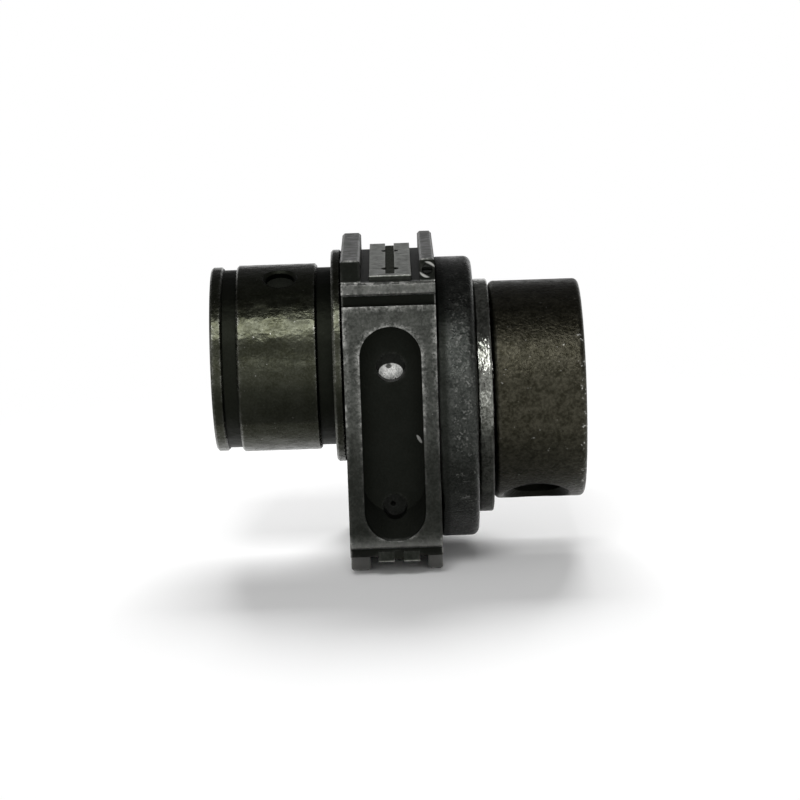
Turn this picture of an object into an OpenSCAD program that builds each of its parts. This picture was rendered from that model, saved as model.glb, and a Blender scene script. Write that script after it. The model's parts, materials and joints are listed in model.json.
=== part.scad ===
// Feed cam of a sewing machine: an eccentric whose throw is set by turning a scroll disc.
// The shaft runs along X. The journal at -X drives the feed, and the collar at +X grips the shaft.
// Y is depth with the front at -Y, Z is up, and the origin lies on the shaft line inside the sleeve.
// Millimetres. The rest position is full throw, with the journal at its highest.

/* [Shaft and throw] */
// Diameter of the shaft that the cam runs on
shaft_d = 9.52; // [8:0.02:9.8]
// Radial room between the shaft and the bore that grips it
bore_fit = 0.01; // [0.01:0.01:0.05]
// Distance of the journal from the shaft line at rest, which is also the travel of the slide
throw = 5.8; // [4.8:0.1:5.9]
// Turn of the adjusting disc from full throw to none, in degrees
disc_turn = 300; // [240:5:315]
// Radial room round the shaft in the slots of the journal and the slide
slot_fit = 0.25; // [0.2:0.05:0.4]
// Gap between faces that slide or turn on each other
run_gap = 0.05; // [0.02:0.01:0.1]
// Gap between pieces that are pressed or screwed together
seat_gap = 0.01; // [0.005:0.005:0.02]

/* [Journal] */
// Diameter of the running land
journal_d = 24; // [23.6:0.1:26]
// Length of the running land
journal_l = 10.2; // [8:0.2:14]
// Diameter of the ring at the free end
end_ring_d = 23.7; // [23.2:0.1:24]
// Length of the ring at the free end
end_ring_l = 1.55; // [1.2:0.05:3]
// Diameter at the bottom of both grooves
groove_d = 22.9; // [22.4:0.1:23.2]
// Width of the groove beside the end ring
outer_groove_l = 1.75; // [1:0.05:3]
// Width of the groove beside the flange
inner_groove_l = 1.9; // [1:0.05:3]
// Diameter of the thin flange
flange_d = 27.3; // [26.5:0.1:29]
// Thickness of the thin flange
flange_t = 1.3; // [1:0.05:2.5]
// Small bevel on the journal's edges
journal_bevel = 0.25; // [0.1:0.05:0.4]
// Diameter of the oil hole in the land
oil_hole_d = 3.6; // [2:0.1:4]
// Angle of the oil hole above the front, in degrees
oil_hole_deg = 67; // [50:1:85]
// Bevel at the mouth of the oil hole
oil_hole_bevel = 0.45; // [0.2:0.05:0.6]
// Depth of the felt below the mouth of the oil hole
oil_felt_down = 1.1; // [0.5:0.1:1.3]

/* [Journal screws] */
// Diameter of the screws that hold the journal to the slide
screw_d = 2; // [1.6:0.1:2.2]
// Diameter of their heads
screw_head_d = 3.5; // [3:0.1:3.6]
// Length of their heads
screw_head_l = 2; // [1.4:0.1:2.4]
// Depth of the hexagon socket in a head
screw_socket = 1.4; // [0.8:0.1:1.5]
// Depth of a head below the journal's end
screw_head_down = 0.3; // [0.1:0.1:0.6]
// Depth of the screws below the journal's axis
screw_below = 1.5; // [0:0.1:2.5]
// How far the screws reach into the slide behind the neck
screw_in = 2.6; // [1.5:0.1:3.6]
// Diameter of the locating dowel
dowel_d = 1.6; // [1.2:0.1:2]
// Length of the dowel in the journal
dowel_out = 3.8; // [2.5:0.1:5]
// Length of the dowel in the slide
dowel_in = 2.8; // [2:0.1:3.5]

/* [Guide block] */
// Place of the block's right face along the shaft
block_right = -2.35; // [-3:0.05:-2]
// Width of the block along the shaft
block_w = 11.65; // [11.2:0.05:13]
// Height of the block without its ears
block_h = 35; // [34.6:0.2:37]
// Depth of the block over its lips
block_deep = 32.8; // [32.4:0.2:35]
// How far the lip stands out from the face
lip_out = 0.9; // [0.5:0.1:1.1]
// Height of the lip
lip_h = 1.7; // [1.3:0.1:1.9]
// Depth of the undercut below the lip
undercut_in = 0.7; // [0.3:0.1:0.9]
// Height of the undercut below the lip
undercut_h = 1.4; // [0.8:0.1:1.6]
// Height of the set-back band at the face's other end
band_h = 1.05; // [0.7:0.05:1.3]
// How far that band is set back from the face
band_in = 0.6; // [0.3:0.1:0.9]
// Height of the ears
ear_h = 2.8; // [2:0.1:3.5]
// Length of the ears from front to back
ear_l = 26.6; // [20:0.2:28]
// Thickness of the left ears
left_ear_w = 2.45; // [1.6:0.05:2.6]
// Thickness of the right ears
right_ear_w = 1.85; // [1.7:0.05:2.3]
// Set-back of the ears from the lip
ear_in = 0.3; // [0.1:0.05:0.6]
// Small bevel on the block's edges
block_bevel = 0.3; // [0.1:0.05:0.4]

/* [Channel] */
// Width of the channel along the shaft
channel_w = 5.25; // [5:0.05:5.5]
// Thickness of the block's right wall beside the channel
right_wall = 2.9; // [2.7:0.05:3.1]
// Depth of the slide from front to back
slide_deep = 17; // [16.8:0.1:17.6]
// Height of the slide below the journal's axis
slide_down = 12.9; // [12.6:0.1:14]
// Height of the slide's neck above the journal's axis
neck_up = 7.4; // [7.3:0.1:8.5]
// Wall of the neck below the shaft slot
neck_wall = 1.6; // [1.2:0.1:1.9]
// Thickness of the gibs in front of and behind the slide
gib_t = 1.2; // [1:0.05:1.5]

/* [Covers] */
// Height that a cover stands above the block
cover_rise = 0.7; // [0.4:0.05:1]
// Thickness of a cover
cover_t = 1.3; // [1.1:0.05:1.5]
// Lip left in front of the cover
cover_lip = 1.2; // [1:0.05:1.5]
// Width of the oil slot
oil_slot_w = 1.15; // [0.8:0.05:1.5]
// Distance from the cover's closed end to the oil slot
oil_slot_end = 1.4; // [1:0.1:2.5]
// Diameter of the two holes across the oil slot
oil_well_d = 2.3; // [1.8:0.1:3]
// Distance from the cover's closed end to the nearer hole
oil_well_in = 6; // [4:0.1:8]
// Distance between the two holes
oil_well_gap = 16.7; // [12:0.1:18]
// Depth of the felt below the cover's face
cover_felt_down = 0.3; // [0.1:0.05:0.6]

/* [Window] */
// Width of the window
window_w = 7.7; // [7:0.1:8.2]
// Top end of the window above the shaft line
window_top = 11.8; // [11:0.1:12.4]
// Bottom end of the window below the shaft line
window_low = 15.5; // [14.5:0.05:15.7]
// Depth of the window's floor behind the face
window_deep = 3.2; // [2.6:0.1:3.4]
// Radius, at the face, of the cone that slopes the window's lower end
cone_r = 7; // [5:0.1:7.4]
// Height of the upper gib screw above the shaft line
upper_screw_z = 6.1; // [5:0.1:7.5]
// Diameter of the upper gib screw
upper_screw_d = 3.6; // [3:0.1:4]
// Diameter of the lower gib screw
lower_screw_d = 3; // [2.4:0.1:3.1]
// Depth of the gib screws' outer ends below the window's floor
gib_screw_down = 1.5; // [0.8:0.1:1.7]
// How far the gib screws reach into the gibs
gib_screw_in = 0.5; // [0.3:0.05:0.7]

/* [Oil plugs] */
// Diameter of the plug screws in the right ears
plug_d = 1.3; // [1:0.1:1.5]
// Length of the plug screws
plug_l = 3.2; // [2:0.1:5]
// Depth of the plug screws below the ears' ends
plug_down = 0.5; // [0.2:0.1:1]

/* [Sleeve and disc] */
// Diameter of the sleeve that carries the disc, ring and collar
sleeve_d = 12.9; // [12.6:0.1:13.1]
// Outer diameter of the adjusting disc
disc_d = 36.15; // [35.6:0.05:38]
// Thickness of the adjusting disc
disc_t = 4.75; // [4.5:0.05:7]
// Rounding of the disc's right edge
disc_round = 1; // [0.4:0.1:1.4]
// Diameter of the follower pin
pin_d = 2.5; // [2.2:0.1:2.6]
// Steel left above the follower pin in the slide
pin_wall = 0.65; // [0.5:0.05:0.85]
// How far the follower pin reaches past the middle of the slide
pin_hold = 0.7; // [0.3:0.1:1.5]
// Depth of the scroll groove
scroll_deep = 2; // [1.5:0.1:2.5]
// Width of the locating notch in the disc's rim
notch_w = 3.4; // [2.5:0.1:5]
// Depth of the locating notch
notch_deep = 2.4; // [1.5:0.1:3.5]
// Length of the locating notch along the shaft
notch_l = 2.5; // [1.5:0.1:3]

/* [Ring and spring] */
// Outer diameter of the friction ring
ring_d = 30.1; // [29:0.1:32]
// Thickness of the friction ring
ring_t = 1.95; // [1.3:0.05:2.5]
// Thickness of the cone spring's steel
spring_t = 0.6; // [0.4:0.05:0.8]
// Outer diameter of the cone spring
spring_d = 21.6; // [18:0.2:22]

/* [Collar] */
// Outer diameter of the collar
collar_d = 28.15; // [27:0.05:30]
// Length of the collar
collar_l = 11.6; // [11:0.05:14]
// Distance of the collar's outside above the shaft line
collar_rise = 0.66; // [0.2:0.02:0.9]
// Rounding of the collar's outer edges
collar_round = 0.7; // [0.3:0.1:1.2]
// Gap between the friction ring and the collar
collar_gap = 0.15; // [0.1:0.05:0.4]
// Depth of the spring's recess in the collar
recess_deep = 1.6; // [1.3:0.05:2]
// Distance of the set screws from the collar's free end
set_screw_from_end = 6.25; // [5:0.05:6.3]
// Diameter of the set screws
set_screw_d = 6.6; // [5:0.1:6.8]
// Length of a set screw's threaded part
set_screw_l = 4.6; // [3:0.1:5.4]
// Depth of the hexagon socket in a set screw
set_screw_socket = 2; // [1.5:0.1:2.8]
// Depth of the bevel at the mouth of a set-screw hole
set_screw_bevel = 1.1; // [0.3:0.05:1.3]
// Diameter of a set screw's point
set_point_d = 3.3; // [2.6:0.1:3.6]
// Angle of the first set screw below the front, in degrees
set_screw_deg = 64.8; // [60:0.2:80]

/* [Hidden] */
$fn = 96;
cut = 1;
blued = [0.13, 0.13, 0.12];
worn = [0.2, 0.2, 0.19];
bright = [0.55, 0.55, 0.53];
felt = [0.12, 0.14, 0.1];

// Places along the shaft, from the block outwards
block_left = block_right - block_w;
channel_right = block_right - right_wall;
channel_left = channel_right - channel_w;
channel_x = (channel_left + channel_right) / 2;
flange_right = block_left - 2 * run_gap;
flange_left = flange_right - flange_t;
land_right = flange_left - inner_groove_l;
land_left = land_right - journal_l;
ring_end = land_left - outer_groove_l;
journal_left = ring_end - end_ring_l;
disc_left = block_right + 2 * run_gap;
disc_right = disc_left + disc_t;
ring_left = disc_right + run_gap;
ring_right = ring_left + ring_t;
collar_left = ring_right + collar_gap;
collar_right = collar_left + collar_l;
sleeve_right = collar_right - 0.4;
set_screw_x = collar_right - set_screw_from_end;

// Room left at the end of a blind hole or above the slide
end_room = 0.2;

// Radii round the shaft
bore_r = shaft_d / 2 + bore_fit;
slot_r = shaft_d / 2 + slot_fit;
sleeve_r = sleeve_d / 2;

// Block outline, where front and back repeat each other after half a turn about the shaft
top_z = block_h / 2;
lip_y = block_deep / 2;
face_y = lip_y - lip_out;
under_y = face_y - undercut_in;
band_y = face_y - band_in;
ear_front = lip_y - ear_in;

// Covers and slide
cover_out = top_z + cover_rise;
cover_in = cover_out - cover_t;
cover_closed = cover_lip - lip_y;
cover_open = band_y;
slide_top = cover_in - end_room;
channel_y = slide_deep / 2 + gib_t + 3 * run_gap;
neck_down = throw + slot_r + neck_wall;

// Window and its screws
window_r = window_w / 2;
window_x = block_right - block_w / 2;
floor_y = face_y - window_deep;
cone_z = cone_r - window_low;
lower_screw_z = window_r - window_low;

// Screws that hold the journal to the slide
screw_r = screw_d / 2;
screw_head_r = screw_head_d / 2;
screw_head_left = journal_left + screw_head_down;
screw_y = slot_r + screw_head_r + 0.35;
screw_z = throw - screw_below;
screw_tip = channel_left + screw_in;
dowel_r = dowel_d / 2;
dowel_z = throw + slot_r + dowel_r + 0.45;

// Follower pin and the scroll that moves it
pin_r = pin_d / 2;
pin_z = slide_top - pin_wall - pin_r;
pin_low = pin_z - throw;
scroll_r = pin_r + run_gap + 0.02;
scroll_steps = 60;
scroll_pitch = throw / disc_turn;

// Ring outline with rounded outer edges, between two places along the shaft
module ring_outline(inner, outer, from, to, round_left, round_right) {
  polygon([
    [inner, from], [outer - round_left, from], [outer, from + round_left],
    [outer, to - round_right], [outer - round_right, to], [inner, to]
  ]);
  translate([outer - round_left, from + round_left]) circle(round_left);
  translate([outer - round_right, to - round_right]) circle(round_right);
}

// Turns an outline of radius and place about the shaft line
module turned() {
  rotate([0, 90, 0]) rotate_extrude() children();
}

module along_x(from, to) {
  translate([from, 0, 0]) rotate([90, 0, 90]) linear_extrude(to - from) children();
}

module along_y(from, to) {
  translate([0, to, 0]) rotate([90, 0, 0]) linear_extrude(to - from) children();
}

// Straight slot with round ends, upright, between the heights of its end centres
module upright_slot(r, low, high) {
  translate([0, low]) circle(r);
  translate([0, high]) circle(r);
  translate([-r, low]) square([2 * r, high - low]);
}

// Points a drill along +Z outwards at an angle above the front
module aimed(angle) {
  rotate([90 - angle, 0, 0]) children();
}

// The same thing at the front and, after half a turn about the shaft, at the back
module both_ways() {
  children();
  rotate([180, 0, 0]) children();
}

// Front edge of the block from its top to its bottom
function front_edge() = [
  [block_bevel - lip_y, top_z],
  [-lip_y, top_z - block_bevel],
  [-lip_y, top_z - lip_h + block_bevel],
  [block_bevel - lip_y, top_z - lip_h],
  [-under_y, top_z - lip_h],
  [-under_y, top_z - lip_h - undercut_h],
  [-face_y, top_z - lip_h - undercut_h],
  [-face_y, band_h + block_bevel - top_z],
  [block_bevel - face_y, band_h - top_z],
  [-band_y, band_h - top_z],
  [-band_y, -top_z]
];

module block_outline() {
  polygon(concat(front_edge(), [for (p = front_edge()) -p]));
}

module ear(left, width) {
  along_y(-ear_front, ear_l - ear_front) polygon([
    [left, top_z - cut], [left, top_z + ear_h - block_bevel], [left + block_bevel, top_z + ear_h],
    [left + width - block_bevel, top_z + ear_h], [left + width, top_z + ear_h - block_bevel],
    [left + width, top_z - cut]
  ]);
}

// Pocket with round ends, whose lower end slopes up to the floor as part of a cone
module window() {
  intersection() {
    along_y(-lip_y - cut, -floor_y) translate([window_x, 0])
      upright_slot(window_r, window_r - window_low, window_top - window_r);
    union() {
      translate([window_x - window_r, -lip_y - cut, cone_z]) cube([window_w, lip_y + cut, window_top - cone_z]);
      translate([window_x, -face_y, cone_z]) rotate([-90, 0, 0]) {
        translate([0, 0, -cut]) cylinder(r = cone_r, h = cut);
        cylinder(r1 = cone_r, r2 = window_r, h = window_deep);
      }
    }
  }
  gib_screw_place(upper_screw_z) cylinder(d = upper_screw_d, h = face_y);
  gib_screw_place(lower_screw_z) cylinder(d = lower_screw_d, h = face_y);
}

// A gib screw's axis, from the face inwards
module gib_screw_place(z) {
  translate([window_x, -face_y, z]) rotate([-90, 0, 0]) children();
}

module plug_place() {
  translate([block_right - right_ear_w / 2, -ear_front, top_z + ear_h / 2]) rotate([-90, 0, 0]) children();
}

module guide_block() color(blued) difference() {
  union() {
    along_x(block_left, block_right) block_outline();
    both_ways() {
      ear(block_left, left_ear_w);
      ear(block_right - right_ear_w, right_ear_w);
    }
    turned() ring_outline(0, sleeve_r, channel_right, sleeve_right, 0.1, 0.4);
  }
  // upright channel for the slide
  translate([channel_left, -channel_y, -cover_out]) cube([channel_w, 2 * channel_y, 2 * cover_out]);
  // opening that the slide's neck moves in
  translate([block_left - cut, -slide_deep / 2 - 2 * run_gap, -neck_down - 3 * run_gap])
    cube([block_w - right_wall, slide_deep + 4 * run_gap, neck_down + throw + neck_up + 6 * run_gap]);
  // bore through the right wall and the sleeve
  along_x(channel_right - cut, collar_right + cut) circle(bore_r);
  // slot that the follower pin moves in
  along_x(channel_right - cut, block_right + cut) upright_slot(pin_r + 3 * run_gap, pin_low, pin_z);
  both_ways() {
    translate([channel_left, cover_closed, cover_in]) cube([channel_w, block_deep, cover_t + cut]);
    window();
    plug_place() translate([0, 0, -cut]) cylinder(d = plug_d, h = plug_l + plug_down + cut);
  }
  set_screw_places() cylinder(d = set_point_d + 4 * seat_gap, h = sleeve_d);
}

// Outline of the oil slot with its two wells, from above
module oil_slot(shrink) {
  translate([channel_x - oil_slot_w / 2 + shrink, cover_closed + oil_slot_end + shrink])
    square([oil_slot_w - 2 * shrink, cover_open - cover_closed - oil_slot_end - shrink]);
  for (well = [0, 1])
    translate([channel_x, cover_closed + oil_well_in + well * oil_well_gap]) circle(d = oil_well_d - 2 * shrink);
}

module cover() color(worn) difference() {
  translate([channel_left + seat_gap, cover_closed + seat_gap, cover_in])
    cube([channel_w - 2 * seat_gap, cover_open - cover_closed - seat_gap, cover_t]);
  translate([0, 0, cover_in - cut]) linear_extrude(cover_t + 2 * cut) {
    oil_slot(0);
    translate([channel_x - oil_slot_w / 2, cover_open - cut]) square([oil_slot_w, 2 * cut]);
  }
}

module cover_felt() color(felt) translate([0, 0, cover_in])
  linear_extrude(cover_t - cover_felt_down) oil_slot(seat_gap);

module top_cover() {
  cover();
}

module bottom_cover() {
  rotate([180, 0, 0]) cover();
}

module top_felt() {
  cover_felt();
}

module bottom_felt() {
  rotate([180, 0, 0]) cover_felt();
}

module gib() color(worn) difference() {
  translate([channel_left + run_gap, -channel_y + seat_gap, -cover_in + run_gap])
    cube([channel_w - 2 * run_gap, gib_t, 2 * (cover_in - run_gap)]);
  gib_dimple(upper_screw_z, upper_screw_d);
  gib_dimple(lower_screw_z, lower_screw_d);
}

module gib_dimple(z, d) {
  gib_screw_place(z) cylinder(d = d, h = face_y - channel_y + gib_screw_in + 2 * seat_gap);
}

// One gib screw with a flat point and a centre mark in its outer end
module gib_screw(z, d) color(bright) {
  down = window_deep + gib_screw_down;
  gib_screw_place(z) translate([0, 0, down]) difference() {
    cylinder(d = d - 2 * seat_gap, h = face_y - down - channel_y + gib_screw_in);
    translate([-0.25, 0, 0]) cylinder(r1 = 0.35, r2 = 0.05, h = 0.3);
  }
}

module gib_screw_pair() {
  gib_screw(upper_screw_z, upper_screw_d);
  gib_screw(lower_screw_z, lower_screw_d);
}

module front_gib() {
  gib();
}

module rear_gib() {
  rotate([180, 0, 0]) gib();
}

module front_gib_screws() {
  gib_screw_pair();
}

module rear_gib_screws() {
  rotate([180, 0, 0]) gib_screw_pair();
}

module oil_plug_screws() color(bright) both_ways() plug_place() translate([0, 0, plug_down]) difference() {
  cylinder(d = plug_d - 2 * seat_gap, h = plug_l);
  translate([-plug_d, -0.2, -cut]) cube([2 * plug_d, 0.4, cut + 0.5]);
}

module friction_ring() color(worn) turned()
  ring_outline(sleeve_r + 2 * run_gap, ring_d / 2, ring_left, ring_right, 0.3, 0.3);

// Spring washer that presses the ring against the disc
module cone_spring() color(bright) turned() {
  ring_side = ring_right + seat_gap;
  collar_side = collar_left + recess_deep - seat_gap;
  polygon([
    [sleeve_r + 0.7, collar_side - spring_t], [sleeve_r + 0.7, collar_side],
    [spring_d / 2, ring_side + spring_t], [spring_d / 2, ring_side]
  ]);
}

module set_screw_places() {
  for (turn = [0, -90]) translate([set_screw_x, 0, 0]) aimed(turn - set_screw_deg) children();
}

// The collar's outside is turned off centre from its bore
module collar() color(blued) difference() {
  translate([0, 0, collar_rise]) turned()
    ring_outline(0, collar_d / 2, collar_left, collar_right, collar_round, collar_round);
  along_x(collar_left - cut, collar_right + cut) circle(sleeve_r + seat_gap);
  along_x(collar_left - cut, collar_left + recess_deep) circle(spring_d / 2 + 0.4);
  set_screw_places() {
    cylinder(d = set_screw_d, h = collar_d);
    translate([0, 0, collar_d / 2 - collar_rise - set_screw_bevel])
      cylinder(r1 = set_screw_d / 2, r2 = set_screw_d / 2 + cut + set_screw_bevel, h = cut + set_screw_bevel);
  }
}

module collar_set_screws() color(bright) set_screw_places() difference() {
  union() {
    translate([0, 0, bore_r + 0.03]) cylinder(d = set_point_d, h = sleeve_r - bore_r + 0.2);
    translate([0, 0, sleeve_r + 0.1]) cylinder(d = set_screw_d - 2 * seat_gap, h = set_screw_l);
  }
  translate([0, 0, sleeve_r + 0.1 + set_screw_l - set_screw_socket])
    cylinder(r = set_screw_d / 3.5, h = set_screw_socket + cut, $fn = 6);
}

// Middle line of the scroll: its radius falls evenly as the angle from straight up grows
function scroll_point(angle, out) =
  (pin_z - scroll_pitch * angle + out) * [sin(angle), cos(angle)];

module scroll_outline() {
  angles = [for (i = [0 : scroll_steps]) disc_turn * i / scroll_steps];
  polygon(concat(
    [for (a = angles) scroll_point(a, scroll_r)],
    [for (i = [scroll_steps : -1 : 0]) scroll_point(angles[i], -scroll_r)]
  ));
  translate(scroll_point(0, 0)) circle(scroll_r);
  translate(scroll_point(disc_turn, 0)) circle(scroll_r);
}

module adjusting_disc() color(blued) difference() {
  turned() ring_outline(sleeve_r + run_gap, disc_d / 2, disc_left, disc_right, 0.3, disc_round);
  along_x(disc_left - cut, disc_left + scroll_deep) scroll_outline();
  translate([disc_right - notch_l, disc_d / 2 - notch_deep, -notch_w / 2])
    cube([notch_l + cut, notch_deep + cut, notch_w]);
}

// Edge points of one step of the journal, with a bevel at both ends
function step_edge(r, from, to) = [
  [r - journal_bevel, from], [r, from + journal_bevel], [r, to - journal_bevel], [r - journal_bevel, to]
];

module shaft_slot(from, to) {
  along_x(from, to) upright_slot(slot_r, 0, throw);
}

module journal() color(blued) difference() {
  translate([0, 0, throw]) turned() polygon(concat(
    [[0, journal_left]],
    step_edge(end_ring_d / 2, journal_left, ring_end),
    [[groove_d / 2, ring_end], [groove_d / 2, land_left]],
    step_edge(journal_d / 2, land_left, land_right),
    [[groove_d / 2, land_right], [groove_d / 2, flange_left]],
    step_edge(flange_d / 2, flange_left, flange_right),
    [[0, flange_right]]
  ));
  shaft_slot(journal_left - cut, flange_right + cut);
  oil_hole_place() {
    cylinder(d = oil_hole_d, h = journal_d);
    translate([0, 0, journal_d / 2 - oil_hole_bevel])
      cylinder(d1 = oil_hole_d, d2 = oil_hole_d + 2 * (oil_hole_bevel + cut), h = oil_hole_bevel + cut);
  }
  screw_places() {
    along_x(journal_left - cut, flange_right + cut) circle(screw_r + run_gap);
    along_x(journal_left - cut, screw_head_left + screw_head_l) circle(screw_head_r + run_gap);
  }
  dowel_hole();
}

module oil_hole_place() {
  translate([(land_left + land_right) / 2 + 0.5, 0, throw]) aimed(oil_hole_deg) children();
}

module screw_places() {
  for (side = [-1, 1]) translate([0, side * screw_y, screw_z]) children();
}

module dowel_hole() {
  translate([0, 0, dowel_z]) along_x(flange_right - dowel_out - end_room, flange_right + dowel_in + end_room)
    circle(dowel_r + seat_gap);
}

// Tongue that slides in the channel, with the neck that carries the journal
module slide() color(worn) difference() {
  union() {
    translate([channel_left + run_gap, -slide_deep / 2, throw - slide_down])
      cube([channel_w - 2 * run_gap, slide_deep, slide_down - throw + slide_top]);
    translate([flange_right, -slide_deep / 2, throw - neck_down])
      cube([channel_left + cut - flange_right, slide_deep, neck_down + neck_up]);
  }
  shaft_slot(flange_right - cut, channel_right + cut);
  screw_places() along_x(flange_right - cut, screw_tip + 0.3) circle(screw_r + seat_gap);
  dowel_hole();
  translate([0, 0, pin_z]) along_x(channel_x - pin_hold - end_room, channel_right + cut) circle(pin_r + seat_gap);
}

module follower_pin() color(bright) translate([0, 0, pin_z])
  along_x(channel_x - pin_hold, disc_left + scroll_deep - end_room) circle(pin_r);

module journal_screws() color(bright) screw_places() difference() {
  union() {
    along_x(screw_head_left, screw_head_left + screw_head_l) circle(screw_head_r);
    along_x(screw_head_left + screw_head_l - seat_gap, screw_tip) circle(screw_r);
  }
  along_x(journal_left, screw_head_left + screw_socket) circle(0.95, $fn = 6);
}

module locating_dowel() color(bright) translate([0, 0, dowel_z])
  along_x(flange_right - dowel_out, flange_right + dowel_in) circle(dowel_r);

// Felt pressed into the oil hole, from the shaft slot outwards
module journal_felt() color(felt) oil_hole_place() translate([0, 0, slot_r + 0.4])
  cylinder(d = oil_hole_d - 2 * seat_gap, h = journal_d / 2 - oil_felt_down - slot_r - 0.4);

guide_block();
top_cover();
bottom_cover();
top_felt();
bottom_felt();
front_gib();
rear_gib();
front_gib_screws();
rear_gib_screws();
oil_plug_screws();
friction_ring();
cone_spring();
collar();
collar_set_screws();
adjusting_disc();
journal();
slide();
follower_pin();
journal_screws();
locating_dowel();
journal_felt();
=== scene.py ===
"""Feed cam of a sewing machine on a pale floor, in black-oxide steel bared by wear, with painted shade and
painted highlights.
"""
import json
import math
import bpy
from mathutils import Matrix, Vector


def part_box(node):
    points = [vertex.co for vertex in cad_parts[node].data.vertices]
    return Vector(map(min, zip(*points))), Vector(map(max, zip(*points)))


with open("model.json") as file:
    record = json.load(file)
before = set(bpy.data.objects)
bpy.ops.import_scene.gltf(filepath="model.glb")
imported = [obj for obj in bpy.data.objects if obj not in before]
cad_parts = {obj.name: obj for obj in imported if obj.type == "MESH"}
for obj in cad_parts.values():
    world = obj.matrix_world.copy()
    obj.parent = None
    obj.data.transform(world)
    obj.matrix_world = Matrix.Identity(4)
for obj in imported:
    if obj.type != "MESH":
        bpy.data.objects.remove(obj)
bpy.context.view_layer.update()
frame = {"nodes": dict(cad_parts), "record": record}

MM = 0.001

# Camera, as fitted to the outlines in the photograph: millimetres, degrees, and the lens in millimetres
CAMERA_PLACE = Vector((-7.146, -369.645, 68.838)) * MM
CAMERA_PITCH = 10.6
CAMERA_ROLL = 1.9
CAMERA_LENS = 130.5

# The part stands on its lower ears, and the floor keeps its shadow this far out
FLOOR_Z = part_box("guide_block")[0].z
FLOOR_HALF = 3.0
FLOOR_SHADE_REACH = 0.13
FLOOR_SEEN = (0.98, 0.98, 0.98)
FLOOR_BOUNCE = (0.5, 0.5, 0.5)

# Greys of the air overhead and in front, how far its dark part leans down behind the part, and where it fades
OVERHEAD_GREY = 0.13
FRONT_GREY = 0.8
AIR_TILT = 0.25
AIR_FADE = (0.28, 0.62)
FRONT_FADE = (-0.5, 0.5)

# The block: faces, ears, flanks and the front window with its scratch
BLOCK_LOW, BLOCK_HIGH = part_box("guide_block")
BLOCK_FACE = BLOCK_HIGH.y - 0.9 * MM
EAR_TOP = BLOCK_HIGH.z
BLOCK_TOP = EAR_TOP - 2.8 * MM
EAR_FOOT = BLOCK_TOP + 0.1 * MM
LOWER_EAR_FRONT = -10.4 * MM
BLOCK_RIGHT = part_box("adjusting_disc")[0].x - 0.05 * MM
BLOCK_MIDDLE = (BLOCK_LOW.x + BLOCK_RIGHT) / 2
BLOCK_HALF = (BLOCK_RIGHT - BLOCK_LOW.x) / 2
WINDOW_X = (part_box("front_gib_screws")[0].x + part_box("front_gib_screws")[1].x) / 2
WINDOW_FLOOR = BLOCK_FACE - 3.2 * MM
NICK_X = WINDOW_X + 3.3 * MM
NICK_Z = -3.1 * MM
NICK_HALF_WIDTH = 0.24 * MM
NICK_HALF_LENGTH = 0.6 * MM
NICK_LEAN = 0.5

# Screws: middle heights of the upper gib screws and of the plug screws, which are the same front and rear
GIB_SCREW_Z = 6.1 * MM
PLUG_X = (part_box("oil_plug_screws")[0].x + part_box("oil_plug_screws")[1].x) / 2
PLUG_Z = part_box("oil_plug_screws")[1].z - 0.65 * MM
SET_SCREW_X = (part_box("collar_set_screws")[0].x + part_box("collar_set_screws")[1].x) / 2
SET_SCREW_ANGLE = 64.8

# Cover, collar, disc and journal
COVER_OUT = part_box("top_cover")[1].z
COLLAR_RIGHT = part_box("collar")[1].x
DISC_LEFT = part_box("adjusting_disc")[0].x
JOURNAL_LOW, JOURNAL_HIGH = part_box("journal")
JOURNAL_AXIS_Z = (JOURNAL_LOW.z + JOURNAL_HIGH.z) / 2
LAND_RADIUS = 12.0 * MM
OIL_HOLE_X = (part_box("journal_felt")[0].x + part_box("journal_felt")[1].x) / 2
OIL_HOLE_ANGLE = 67

# Colours, linear, and sizes that several finishes share
# Bare steel, also used as painted light: highlights round the plug screws, a lighter foot and lighter upper
# faces
BARE_STEEL_AND_LIGHT = (0.62, 0.62, 0.59)
# Near-black of oxide and old lubricant, also used as painted shade in hollows and on lower halves
OXIDE_BLACK_AND_SHADE = (0.008, 0.009, 0.007)
DRY_FELT = (0.002, 0.002, 0.002)
OILED_FELT = (0.016, 0.018, 0.012)
OILED_ROUGHNESS = 0.6
RIM_WIDTH = 0.5
POCKET_DEPTH = 4.0
ROUNDED_EDGE = 0.14
SLIGHT_RIPPLE = (1.2, (1.0, 1.0, 1.0), 0.02)


def smooth_step(tree, value, low, high, out_low=0.0, out_high=1.0):
    """Carries the stretch from low to high onto another in a smooth step, held at its ends."""
    node = tree.nodes.new("ShaderNodeMapRange")
    node.interpolation_type = "SMOOTHSTEP"
    tree.links.new(value, node.inputs["Value"])
    node.inputs["From Min"].default_value = low
    node.inputs["From Max"].default_value = high
    node.inputs["To Min"].default_value = out_low
    node.inputs["To Max"].default_value = out_high
    return node.outputs["Result"]


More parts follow.
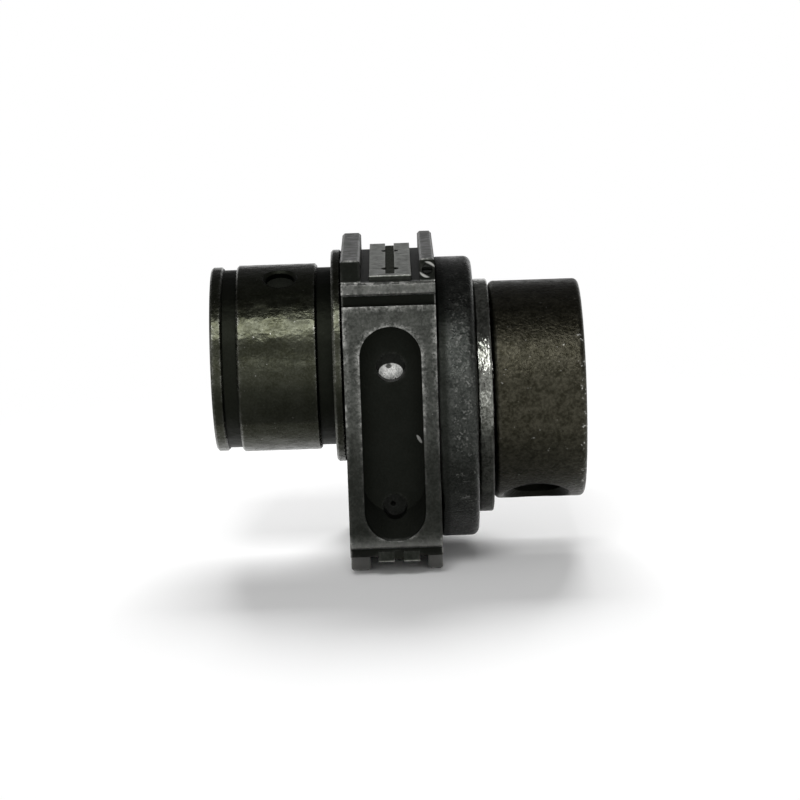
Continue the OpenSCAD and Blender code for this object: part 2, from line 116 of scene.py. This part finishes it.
class Finish:
    """Node tree of one material, with the few steps that every finish here is made from."""

    def __init__(self, name):
        self.material = bpy.data.materials.new(name)
        self.material.use_nodes = True
        self.tree = self.material.node_tree
        self.shader = self.tree.nodes["Principled BSDF"]
        self.place = self.tree.nodes.new("ShaderNodeTexCoord").outputs["Object"]

    def add(self, kind, **settings):
        node = self.tree.nodes.new("ShaderNode" + kind)
        for key, value in settings.items():
            setattr(node, key, value)
        return node

    def feed(self, socket, value):
        """Links a socket to another one, or sets it to a plain value."""
        if isinstance(value, bpy.types.NodeSocket):
            self.tree.links.new(value, socket)
        else:
            socket.default_value = value

    def maths(self, operation, a, b=0.0):
        node = self.add("Math", operation=operation)
        self.feed(node.inputs[0], a)
        self.feed(node.inputs[1], b)
        return node.outputs[0]

    def product(self, first, *others):
        """All the values multiplied with each other."""
        for value in others:
            first = self.maths("MULTIPLY", first, value)
        return first

    def most(self, first, *others):
        """The largest of the values."""
        for value in others:
            first = self.maths("MAXIMUM", first, value)
        return first

    def reach(self, a, b):
        """Length of a way that goes a in one direction and b across it."""
        return self.maths("SQRT", self.maths("ADD", self.product(a, a), self.product(b, b)))

    def between(self, value, low, high, out_low=0.0, out_high=1.0):
        """Carries the stretch from low to high onto another in a smooth step, held at its ends."""
        return smooth_step(self.tree, value, low, high, out_low, out_high)

    def cloud(self, size, detail=3.0, stretch=(1.0, 1.0, 1.0), shift=0.0):
        """Noise whose blotches are about size millimetres wide, stretched along the axes."""
        mapping = self.add("Mapping")
        self.feed(mapping.inputs["Vector"], self.place)
        mapping.inputs["Scale"].default_value = [1.0 / (size * MM * s) for s in stretch]
        mapping.inputs["Location"].default_value = (shift, shift * 0.7, shift * 1.3)
        noise = self.add("TexNoise")
        self.feed(noise.inputs["Vector"], mapping.outputs["Vector"])
        noise.inputs["Scale"].default_value = 1.0
        noise.inputs["Detail"].default_value = detail
        noise.inputs["Roughness"].default_value = 0.6
        return noise.outputs["Fac"]

    def mix(self, share, a, b):
        node = self.add("Mix", data_type="RGBA")
        self.feed(node.inputs[0], share)
        self.feed(node.inputs[6], a if isinstance(a, bpy.types.NodeSocket) else (*a, 1.0))
        self.feed(node.inputs[7], b if isinstance(b, bpy.types.NodeSocket) else (*b, 1.0))
        return node.outputs[2]

    def edges(self, width):
        """Up to about 0.5 along sharp outer edges of a piece, 0 on its open faces: the share of short ways
        into the steel that come out again within width millimetres."""
        node = self.add("AmbientOcclusion", samples=6, inside=True, only_local=True)
        node.inputs["Distance"].default_value = width * MM
        return self.maths("SUBTRACT", 1.0, node.outputs["AO"])

    def corners(self, width):
        """Up to 1 deep in the corners and holes of a piece, 0 on its open faces."""
        node = self.add("AmbientOcclusion", samples=6, only_local=True)
        node.inputs["Distance"].default_value = width * MM
        return self.maths("SUBTRACT", 1.0, node.outputs["AO"])

    def part(self, letter):
        """One coordinate of the place, in metres."""
        node = self.add("SeparateXYZ")
        self.feed(node.inputs[0], self.place)
        return node.outputs[letter]

    def along(self):
        """Place along the shaft."""
        return self.part("X")

    def height(self):
        """Height above the shaft line."""
        return self.part("Z")

    def side(self, letter):
        """Distance from the shaft line along one axis, either way."""
        return self.maths("ABSOLUTE", self.part(letter))

    def radius(self, axis_z):
        """Distance from an axis that runs along the shaft at height axis_z."""
        return self.reach(self.maths("SUBTRACT", self.height(), axis_z), self.part("Y"))

    def from_line(self, x, axis_z, degrees):
        """Distance from the middle line of a hole that leaves the axis at x, degrees above the front."""
        turn = math.radians(degrees)
        up = self.maths("SUBTRACT", self.height(), axis_z)
        across = self.maths("ADD", self.product(self.part("Y"), math.sin(turn)),
                            self.product(up, math.cos(turn)))
        return self.reach(across, self.maths("SUBTRACT", self.along(), x))

    def painted_lower_shade(self, top, full, darkness):
        """Painted shade that darkens a piece towards the bottom: none above height top, all of its darkness
        below full, both in mm.
        """
        return self.between(self.height(), full * MM, top * MM, darkness, 0.0)

    def relief(self, height, depth, under=None):
        bump = self.add("Bump")
        bump.inputs["Distance"].default_value = depth * MM
        self.feed(bump.inputs["Height"], height)
        if under is not None:
            self.feed(bump.inputs["Normal"], under)
        return bump.outputs["Normal"]

    def rounded(self, radius):
        node = self.add("Bevel", samples=6)
        node.inputs["Radius"].default_value = radius * MM
        return node.outputs["Normal"]


def steel(name, dark, pale, blotch, grain, rough, wear, relief, ripple=SLIGHT_RIPPLE, oil_and_shade=None, wear_and_light=None):
    """Oxide-blackened steel. Dark and pale oxide drift into each other in blotches and finer grain, bare
    steel shows in broken lines along outer edges and in specks, and corners and pockets get painted shade
    over the dark oxide of their hollows. blotch and grain are sizes in millimetres, relief the depth of the
    grain. rough is the least and the most roughness, wear the share of bare steel on the edges. ripple is the
    size, stretch and depth of the slow unevenness that bends reflections. The last two are functions that
    return where old lubricant and painted shade keep the surface black, and where wear and painted light
    make it lighter."""
    finish = Finish(name)
    blotches = finish.cloud(blotch, 5.0)
    fine = finish.cloud(grain, 4.0, shift=3.1)
    coarse = finish.cloud(grain * 4.0, 4.0, shift=5.3)
    blend = finish.maths("ADD", finish.between(blotches, 0.35, 0.65, 0.0, 0.5),
                         finish.between(fine, 0.4, 0.62, 0.0, 0.5))
    colour = finish.mix(blend, dark, pale)
    broken = finish.product(finish.between(fine, 0.4, 0.6, 0.35, 1.0),
                            finish.between(coarse, 0.38, 0.6, 0.1, 1.0))
    rim = finish.product(finish.between(finish.edges(RIM_WIDTH), 0.08, 0.4, 0.0, wear), broken)
    speck = finish.between(finish.cloud(grain * 1.5, 2.0, shift=7.7), 0.7, 0.76, 0.0, wear * 0.4)
    bare_and_lit = finish.most(speck, rim)
    gloss = finish.between(coarse, 0.35, 0.65, rough[0], rough[1])
    # Painted shade and old lubricant: this mask blackens the colour, hides wear and dulls the gloss
    if oil_and_shade is not None:
        oil_shade_share = oil_and_shade(finish)
        colour = finish.mix(oil_shade_share, colour, OXIDE_BLACK_AND_SHADE)
        bare_and_lit = finish.product(bare_and_lit, finish.between(oil_shade_share, 0.0, 0.8, 1.0, 0.05))
        gloss = finish.most(gloss, finish.product(oil_shade_share, OILED_ROUGHNESS))
    # Wear that bares the steel, and on the block also painted light that lightens it
    if wear_and_light is not None:
        bare_and_lit = finish.most(bare_and_lit, wear_and_light(finish, fine, coarse))
    colour = finish.mix(bare_and_lit, colour, BARE_STEEL_AND_LIGHT)
    # Painted shade: corners and pockets darkened by occlusion, over the dark oxide of the hollows
    pocket = finish.between(finish.corners(POCKET_DEPTH), 0.2, 0.6, 0.0, 0.85)
    finish.feed(finish.shader.inputs["Base Color"], finish.mix(pocket, colour, OXIDE_BLACK_AND_SHADE))
    finish.feed(finish.shader.inputs["Roughness"], gloss)
    finish.shader.inputs["Metallic"].default_value = 1.0
    size, stretch, depth = ripple
    rolling = finish.relief(finish.cloud(size, 3.0, stretch, 9.1), depth, finish.rounded(ROUNDED_EDGE))
    finish.feed(finish.shader.inputs["Normal"], finish.relief(fine, relief, rolling))
    return finish.material


def felt():
    """Oil-soaked felt: matt and nearly black, with short fibres."""
    finish = Finish("felt_oiled")
    fibres = finish.cloud(0.25, 5.0, (1.0, 1.0, 2.5))
    finish.feed(finish.shader.inputs["Base Color"], finish.mix(fibres, DRY_FELT, OILED_FELT))
    finish.feed(finish.shader.inputs["Roughness"], finish.between(fibres, 0.3, 0.7, 0.6, 0.95))
    finish.shader.inputs["Specular IOR Level"].default_value = 0.15
    finish.feed(finish.shader.inputs["Normal"], finish.relief(fibres, 0.15))
    return finish.material


def block_oil_and_shade(finish):
    """Painted shade over old lubricant on all of the block behind its front and rear faces, weaker on its
    flanks, and on its upper ears, but little on the ears' outer ends. Painted shade also darkens the lower
    half of the faces down to the foot."""
    # Painted shade: recesses behind the faces, such as the window, are darkened
    behind = finish.between(finish.side("Y"), BLOCK_FACE - 0.4 * MM, BLOCK_FACE - 0.15 * MM, 1.0, 0.0)
    from_middle = finish.maths("ABSOLUTE", finish.maths("SUBTRACT", finish.along(), BLOCK_MIDDLE))
    flanks = finish.between(from_middle, BLOCK_HALF - 0.25 * MM, BLOCK_HALF - 0.15 * MM, 1.0, 0.35)
    ears = finish.between(finish.height(), EAR_FOOT, EAR_FOOT + 0.1 * MM)
    below = finish.between(finish.side("Z"), EAR_TOP - 0.3 * MM, EAR_TOP - 0.1 * MM, 0.92, 0.1)
    thick = finish.product(finish.most(finish.product(behind, flanks), ears), below)
    # Painted shade: darker towards the foot on the lower half of the faces
    above_foot = finish.between(finish.height(), -16.0 * MM, -14.0 * MM)
    return finish.most(thick, finish.product(finish.painted_lower_shade(2.0, -7.0, 0.7), above_foot))


def block_wear_and_light(finish, fine, coarse):
    """Bare steel from wear on the block's faces and lips and in one nick in the window, with painted light:
    the face wear fades out downwards, highlights round the plug screw holes, and a lighter foot.
    """
    under_top = finish.between(finish.side("Z"), BLOCK_TOP + 0.02 * MM, BLOCK_TOP + 0.08 * MM, 1.0, 0.0)
    outside = finish.between(finish.side("Y"), BLOCK_FACE - 0.15 * MM, BLOCK_FACE - 0.05 * MM)
    further_out = finish.between(finish.side("Y"), BLOCK_FACE + 0.2 * MM, BLOCK_FACE + 0.5 * MM)
    on_face = finish.product(under_top, outside)
    on_lip = finish.product(under_top, further_out)
    return finish.most(face_wear_and_light(finish, fine, coarse, on_face), lip_wear(finish, coarse, on_lip),
                       plug_rim_highlights(finish, further_out), foot_painted_light(finish, on_face), nick(finish))


def face_wear_and_light(finish, fine, coarse, on_face):
    """Soft bare patches of wear near the edges of the faces, with painted light that fades them out towards
    the lower half.
    """
    # Painted light: the upper faces get the most bare colour, the lower half almost none
    upper = finish.between(finish.height(), -0.2 * EAR_TOP, 0.5 * EAR_TOP, 0.04, 1.0)
    line = finish.between(finish.edges(0.9), 0.02, 0.4, 0.0, 0.5)
    patches = finish.product(finish.between(fine, 0.36, 0.7), finish.between(coarse, 0.36, 0.6, 0.15, 1.0))
    return finish.product(line, upper, patches, on_face)


def lip_wear(finish, coarse, on_lip):
    """Slight wear all over the lips, and bare dashes along their outer corners."""
    all_over = finish.between(coarse, 0.35, 0.6, 0.03, 0.11)
    corner = finish.between(finish.side("Z"), BLOCK_TOP - 0.34 * MM, BLOCK_TOP - 0.2 * MM)
    broken = finish.between(finish.cloud(0.8, 3.0, (1.3, 1.0, 1.0), 4.3), 0.42, 0.54, 0.0, 0.75)
    return finish.product(on_lip, finish.most(all_over, finish.product(corner, broken)))


def plug_rim_highlights(finish, further_out):
    """Painted highlights: two bright arcs round each plug screw, at opposite ends of a slanting line through
    its middle, on the hole's rim.
    """
    off = finish.maths("SUBTRACT", finish.along(), PLUG_X)
    over = finish.maths("SUBTRACT", finish.side("Z"), PLUG_Z)
    away = finish.reach(off, over)
    ring = finish.product(finish.between(away, 0.62 * MM, 0.7 * MM),
                          finish.between(away, 0.95 * MM, 1.05 * MM, 1.0, 0.0))
    slant = finish.maths("ADD", finish.product(over, 0.85), finish.product(off, 0.5))
    ends = finish.between(finish.maths("ABSOLUTE", slant), 0.6 * MM, 0.8 * MM, 0.0, 0.6)
    return finish.product(ring, further_out, ends)


def foot_painted_light(finish, on_face):
    """Painted light, standing for the floor's reflection, on the front ends of the lower ears and on the
    lowest strip of the faces above them.
    """
    ear_ends = finish.between(finish.part("Y"), LOWER_EAR_FRONT, LOWER_EAR_FRONT + 0.1 * MM, 1.0, 0.0)
    lowest = finish.between(finish.height(), -EAR_FOOT - 0.2 * MM, -EAR_FOOT, 0.2, 0.0)
    strip = finish.between(finish.height(), -16.2 * MM, -15.0 * MM, 0.12, 0.0)
    return finish.most(finish.product(ear_ends, lowest), finish.product(on_face, strip))


def nick(finish):
    """A bare scratch at the right of the front window's floor: a thin ellipse that leans with height."""
    rise = finish.maths("SUBTRACT", finish.height(), NICK_Z)
    aside = finish.maths("ADD", finish.maths("SUBTRACT", finish.along(), NICK_X),
                         finish.product(rise, NICK_LEAN))
    away = finish.reach(finish.maths("DIVIDE", aside, NICK_HALF_WIDTH),
                        finish.maths("DIVIDE", rise, NICK_HALF_LENGTH))
    oval = finish.product(away, away)
    front = finish.between(finish.part("Y"), -WINDOW_FLOOR, 0.2 * MM - WINDOW_FLOOR, 1.0, 0.0)
    return finish.product(front, finish.between(oval, 0.5, 1.0, 0.7, 0.0))


def cover_painted_shade(finish):
    """Painted shade on all of a cover but its outer face, which wear has made bright."""
    return finish.between(finish.side("Z"), COVER_OUT - 0.2 * MM, COVER_OUT - 0.05 * MM, 0.9, 0.0)


def journal_oil_and_shade(finish):
    """Old lubricant in the journal's grooves, which lie inside the land's radius, and round its lubricating
    hole, and painted shade in a band below its middle. The end face stays clean."""
    inside = finish.between(finish.radius(JOURNAL_AXIS_Z), LAND_RADIUS - 0.4 * MM, LAND_RADIUS - 0.25 * MM,
                            0.85, 0.0)
    past_end = finish.between(finish.along(), JOURNAL_LOW.x + 0.2 * MM, JOURNAL_LOW.x + 0.5 * MM)
    from_hole = finish.from_line(OIL_HOLE_X, JOURNAL_AXIS_Z, OIL_HOLE_ANGLE)
    hole = finish.between(from_hole, 2.0 * MM, 2.5 * MM, 0.8, 0.0)
    # Painted shade: a dark band below the journal's middle
    band = finish.product(finish.painted_lower_shade(5.5, 3.2, 0.5), finish.between(finish.height(), -1.4 * MM, -0.6 * MM))
    return finish.most(finish.product(inside, past_end), hole, band)


def disc_painted_shade(finish):
    """Painted shade on the disc, strong beside the block, and weak on the disc's lower half."""
    # Painted shade where the disc meets the block
    beside = finish.between(finish.along(), DISC_LEFT + 0.7 * MM, DISC_LEFT + 1.6 * MM, 0.7, 0.0)
    return finish.most(beside, finish.painted_lower_shade(4.0, -8.0, 0.4))


def disc_rubbed(finish, fine, coarse):
    """Scuffs on the outer part of the disc's rim, where fingers and tools turned it."""
    outer = finish.between(finish.along(), DISC_LEFT + 1.3 * MM, DISC_LEFT + 2.0 * MM, 0.0, 0.16)
    return finish.product(outer, finish.between(fine, 0.5, 0.66), finish.between(coarse, 0.5, 0.6))


def ring_painted_shade(finish):
    """Painted shade on the lower half of the friction ring."""
    return finish.painted_lower_shade(0.0, -3.0, 0.75)


def collar_dark_mouth_and_shade(finish):
    """A dark patch in the mouth of the lower set-screw hole, and weak painted shade on the collar's lower
    half.
    """
    away = finish.from_line(SET_SCREW_X, 0.0, -SET_SCREW_ANGLE)
    lower = finish.between(finish.height(), -2.0 * MM, 0.0, 0.9, 0.0)
    mouth = finish.product(lower, finish.between(away, 4.1 * MM, 4.5 * MM, 1.0, 0.0))
    return finish.most(mouth, finish.painted_lower_shade(-1.0, -6.0, 0.35))


def collar_rubbed(finish, fine, coarse):
    """Bright specks along the collar's free edge, where it scraped against its neighbour on the shaft."""
    end = finish.between(finish.along(), COLLAR_RIGHT - 1.1 * MM, COLLAR_RIGHT - 0.5 * MM)
    rim = finish.between(finish.radius(0.0), 12.4 * MM, 13.2 * MM)
    return finish.product(end, rim, finish.between(fine, 0.55, 0.65), finish.between(coarse, 0.5, 0.6))


def screw_darkening_and_shadow(finish):
    """Darkens every screw, pin and dowel. Only an oval on the upper gib screws' ends stays bright, with a
    painted shadow crescent over it from the hole's upper rim. Front and rear repeat each other after half a
    turn, so depth times height is above 0 on the front's lower screws and on the rear's upper ones."""
    lower = finish.between(finish.product(finish.part("Y"), finish.height()), 0.0, MM * MM, 0.0, 0.95)
    # Painted shadow: a dark crescent over the bright oval on the upper gib screws' ends
    off = finish.maths("SUBTRACT", finish.along(), WINDOW_X)
    low = finish.product(finish.maths("SUBTRACT", finish.side("Z"), GIB_SCREW_Z - 0.8 * MM), 1.35)
    crescent = finish.between(finish.reach(off, low), 1.45 * MM, 1.6 * MM, 0.0, 0.97)
    return finish.most(lower, crescent)


def make_finishes():
    """One finish for each material slot of the record."""
    return {
        "block_steel": steel("block_black_oxide", (0.036, 0.038, 0.034), (0.085, 0.088, 0.08),
                             blotch=2.6, grain=0.3, rough=(0.34, 0.46), wear=0.6, relief=0.04,
                             oil_and_shade=block_oil_and_shade, wear_and_light=block_wear_and_light),
        "cover_steel": steel("cover_worn_steel", (0.125, 0.135, 0.115), (0.29, 0.305, 0.27),
                             blotch=1.4, grain=0.3, rough=(0.34, 0.48), wear=0.6, relief=0.03,
                             oil_and_shade=cover_painted_shade),
        "inner_steel": steel("inner_dark_steel", (0.008, 0.009, 0.008), (0.03, 0.031, 0.028),
                             blotch=2.0, grain=0.4, rough=(0.35, 0.5), wear=0.3, relief=0.03),
        "screw_steel": steel("screw_bright_steel", (0.25, 0.255, 0.245), (0.62, 0.62, 0.6),
                             blotch=0.8, grain=0.25, rough=(0.25, 0.4), wear=0.8, relief=0.05,
                             oil_and_shade=screw_darkening_and_shadow),
        "ring_steel": steel("ring_satin_steel", (0.05, 0.052, 0.044), (0.26, 0.265, 0.24),
                            blotch=2.4, grain=0.35, rough=(0.13, 0.22), wear=0.8, relief=0.01,
                            ripple=(2.4, (0.4, 1.0, 1.0), 0.2), oil_and_shade=ring_painted_shade),
        "collar_steel": steel("collar_brown_oxide", (0.018, 0.017, 0.011), (0.056, 0.053, 0.039),
                              blotch=1.2, grain=0.4, rough=(0.3, 0.42), wear=0.6, relief=0.09,
                              oil_and_shade=collar_dark_mouth_and_shade, wear_and_light=collar_rubbed),
        "disc_steel": steel("disc_black_oxide", (0.02, 0.022, 0.02), (0.062, 0.065, 0.06),
                            blotch=1.8, grain=0.3, rough=(0.26, 0.4), wear=0.5, relief=0.08,
                            oil_and_shade=disc_painted_shade, wear_and_light=disc_rubbed),
        "journal_steel": steel("journal_brown_oxide", (0.024, 0.025, 0.016), (0.046, 0.048, 0.036),
                               blotch=2.4, grain=0.3, rough=(0.2, 0.31), wear=0.5, relief=0.004,
                               ripple=(2.4, (1.0, 0.8, 0.8), 0.13), oil_and_shade=journal_oil_and_shade),
        "felt": felt(),
    }


def dress_nodes():
    """Gives every node of the frame the finish of its piece."""
    finishes = make_finishes()
    for subpart in frame["record"]["subparts"]:
        for slot in frame["nodes"][subpart["node"]].material_slots:
            slot.link = "OBJECT"
            slot.material = finishes[subpart["material_slot"]]


def make_camera():
    camera = bpy.data.objects.new("camera", bpy.data.cameras.new("camera"))
    bpy.context.scene.collection.objects.link(camera)
    camera.data.lens = CAMERA_LENS
    camera.data.clip_start = 10 * MM
    pitch = Matrix.Rotation(math.radians(90 - CAMERA_PITCH), 4, "X")
    roll = Matrix.Rotation(math.radians(-CAMERA_ROLL), 4, "Z")
    camera.matrix_world = Matrix.Translation(CAMERA_PLACE) @ pitch @ roll
    bpy.context.scene.camera = camera


def make_floor():
    """One large pale plane under the lower ears. The camera and reflections see it nearly white, and other
    light bounces off it as off grey. Near the part it keeps the shadow, and further out it turns into plain
    white background."""
    half = FLOOR_HALF
    mesh = bpy.data.meshes.new("floor")
    mesh.from_pydata([(-half, -half, FLOOR_Z), (half, -half, FLOOR_Z), (half, half, FLOOR_Z),
                      (-half, half, FLOOR_Z)], [], [(0, 1, 2, 3)])
    floor = bpy.data.objects.new("floor", mesh)
    bpy.context.scene.collection.objects.link(floor)
    finish = Finish("floor_pale")
    path = finish.add("LightPath")
    seen = finish.most(path.outputs["Is Camera Ray"], path.outputs["Is Glossy Ray"],
                       path.outputs["Is Transmission Ray"])
    finish.feed(finish.shader.inputs["Base Color"], finish.mix(seen, FLOOR_BOUNCE, FLOOR_SEEN))
    finish.shader.inputs["Roughness"].default_value = 0.9
    finish.shader.inputs["Specular IOR Level"].default_value = 0.0
    away = finish.add("VectorMath", operation="LENGTH")
    finish.feed(away.inputs[0], finish.place)
    far = finish.between(away.outputs["Value"], FLOOR_SHADE_REACH * 0.45, FLOOR_SHADE_REACH)
    backdrop = finish.add("Emission")
    blend = finish.add("MixShader")
    finish.feed(blend.inputs[0], finish.product(far, seen))
    finish.feed(blend.inputs[1], finish.shader.outputs[0])
    finish.feed(blend.inputs[2], backdrop.outputs[0])
    finish.feed(finish.tree.nodes["Material Output"].inputs["Surface"], blend.outputs[0])
    mesh.materials.append(finish.material)


def make_world():
    """Pale studio air: white round the horizon, dimmer in front, and dark grey overhead. The dark part leans
    down behind the part. Its strength is the height's fade times the front's fade, for each direction."""
    world = bpy.data.worlds.new("studio")
    bpy.context.scene.world = world
    world.use_nodes = True
    tree = world.node_tree
    background = tree.nodes["Background"]
    direction = tree.nodes.new("ShaderNodeTexCoord").outputs["Generated"]
    split = tree.nodes.new("ShaderNodeSeparateXYZ")
    tree.links.new(direction, split.inputs[0])
    tilted = tree.nodes.new("ShaderNodeVectorMath")
    tilted.operation = "DOT_PRODUCT"
    tree.links.new(direction, tilted.inputs[0])
    tilted.inputs[1].default_value = (0.0, AIR_TILT, 1.0)
    height = smooth_step(tree, tilted.outputs["Value"], *AIR_FADE, 1.0, OVERHEAD_GREY)
    depth = smooth_step(tree, split.outputs["Y"], *FRONT_FADE, FRONT_GREY, 1.0)
    strength = tree.nodes.new("ShaderNodeMath")
    strength.operation = "MULTIPLY"
    tree.links.new(height, strength.inputs[0])
    tree.links.new(depth, strength.inputs[1])
    tree.links.new(strength.outputs[0], background.inputs["Strength"])
    background.inputs["Color"].default_value = (1.0, 1.0, 1.0, 1.0)


def lamp(name, place, size, power):
    """Square soft box turned towards the origin. Place and size are in millimetres, power in watts."""
    light = bpy.data.lights.new(name, "AREA")
    light.size = size * MM
    light.energy = power
    holder = bpy.data.objects.new(name, light)
    bpy.context.scene.collection.objects.link(holder)
    place = Vector(place) * MM
    turn = (-place).to_track_quat("-Z", "Y").to_matrix().to_4x4()
    holder.matrix_world = Matrix.Translation(place) @ turn
    return holder


def light_studio():
    """A soft box in front at 48 degrees, a small one low in front, and one behind at 48 degrees that lays the
    shadow to the front and isn't mirrored in the steel."""
    lamp("key", (-60, -520, 580), 260, 2.1)
    lamp("low", (-20, -700, 60), 140, 0.14)
    back = lamp("back", (20, 480, 540), 380, 4.7)
    back.visible_glossy = False


make_camera()
make_floor()
make_world()
light_studio()
dress_nodes()

bpy.context.scene.view_settings.view_transform = "Standard"
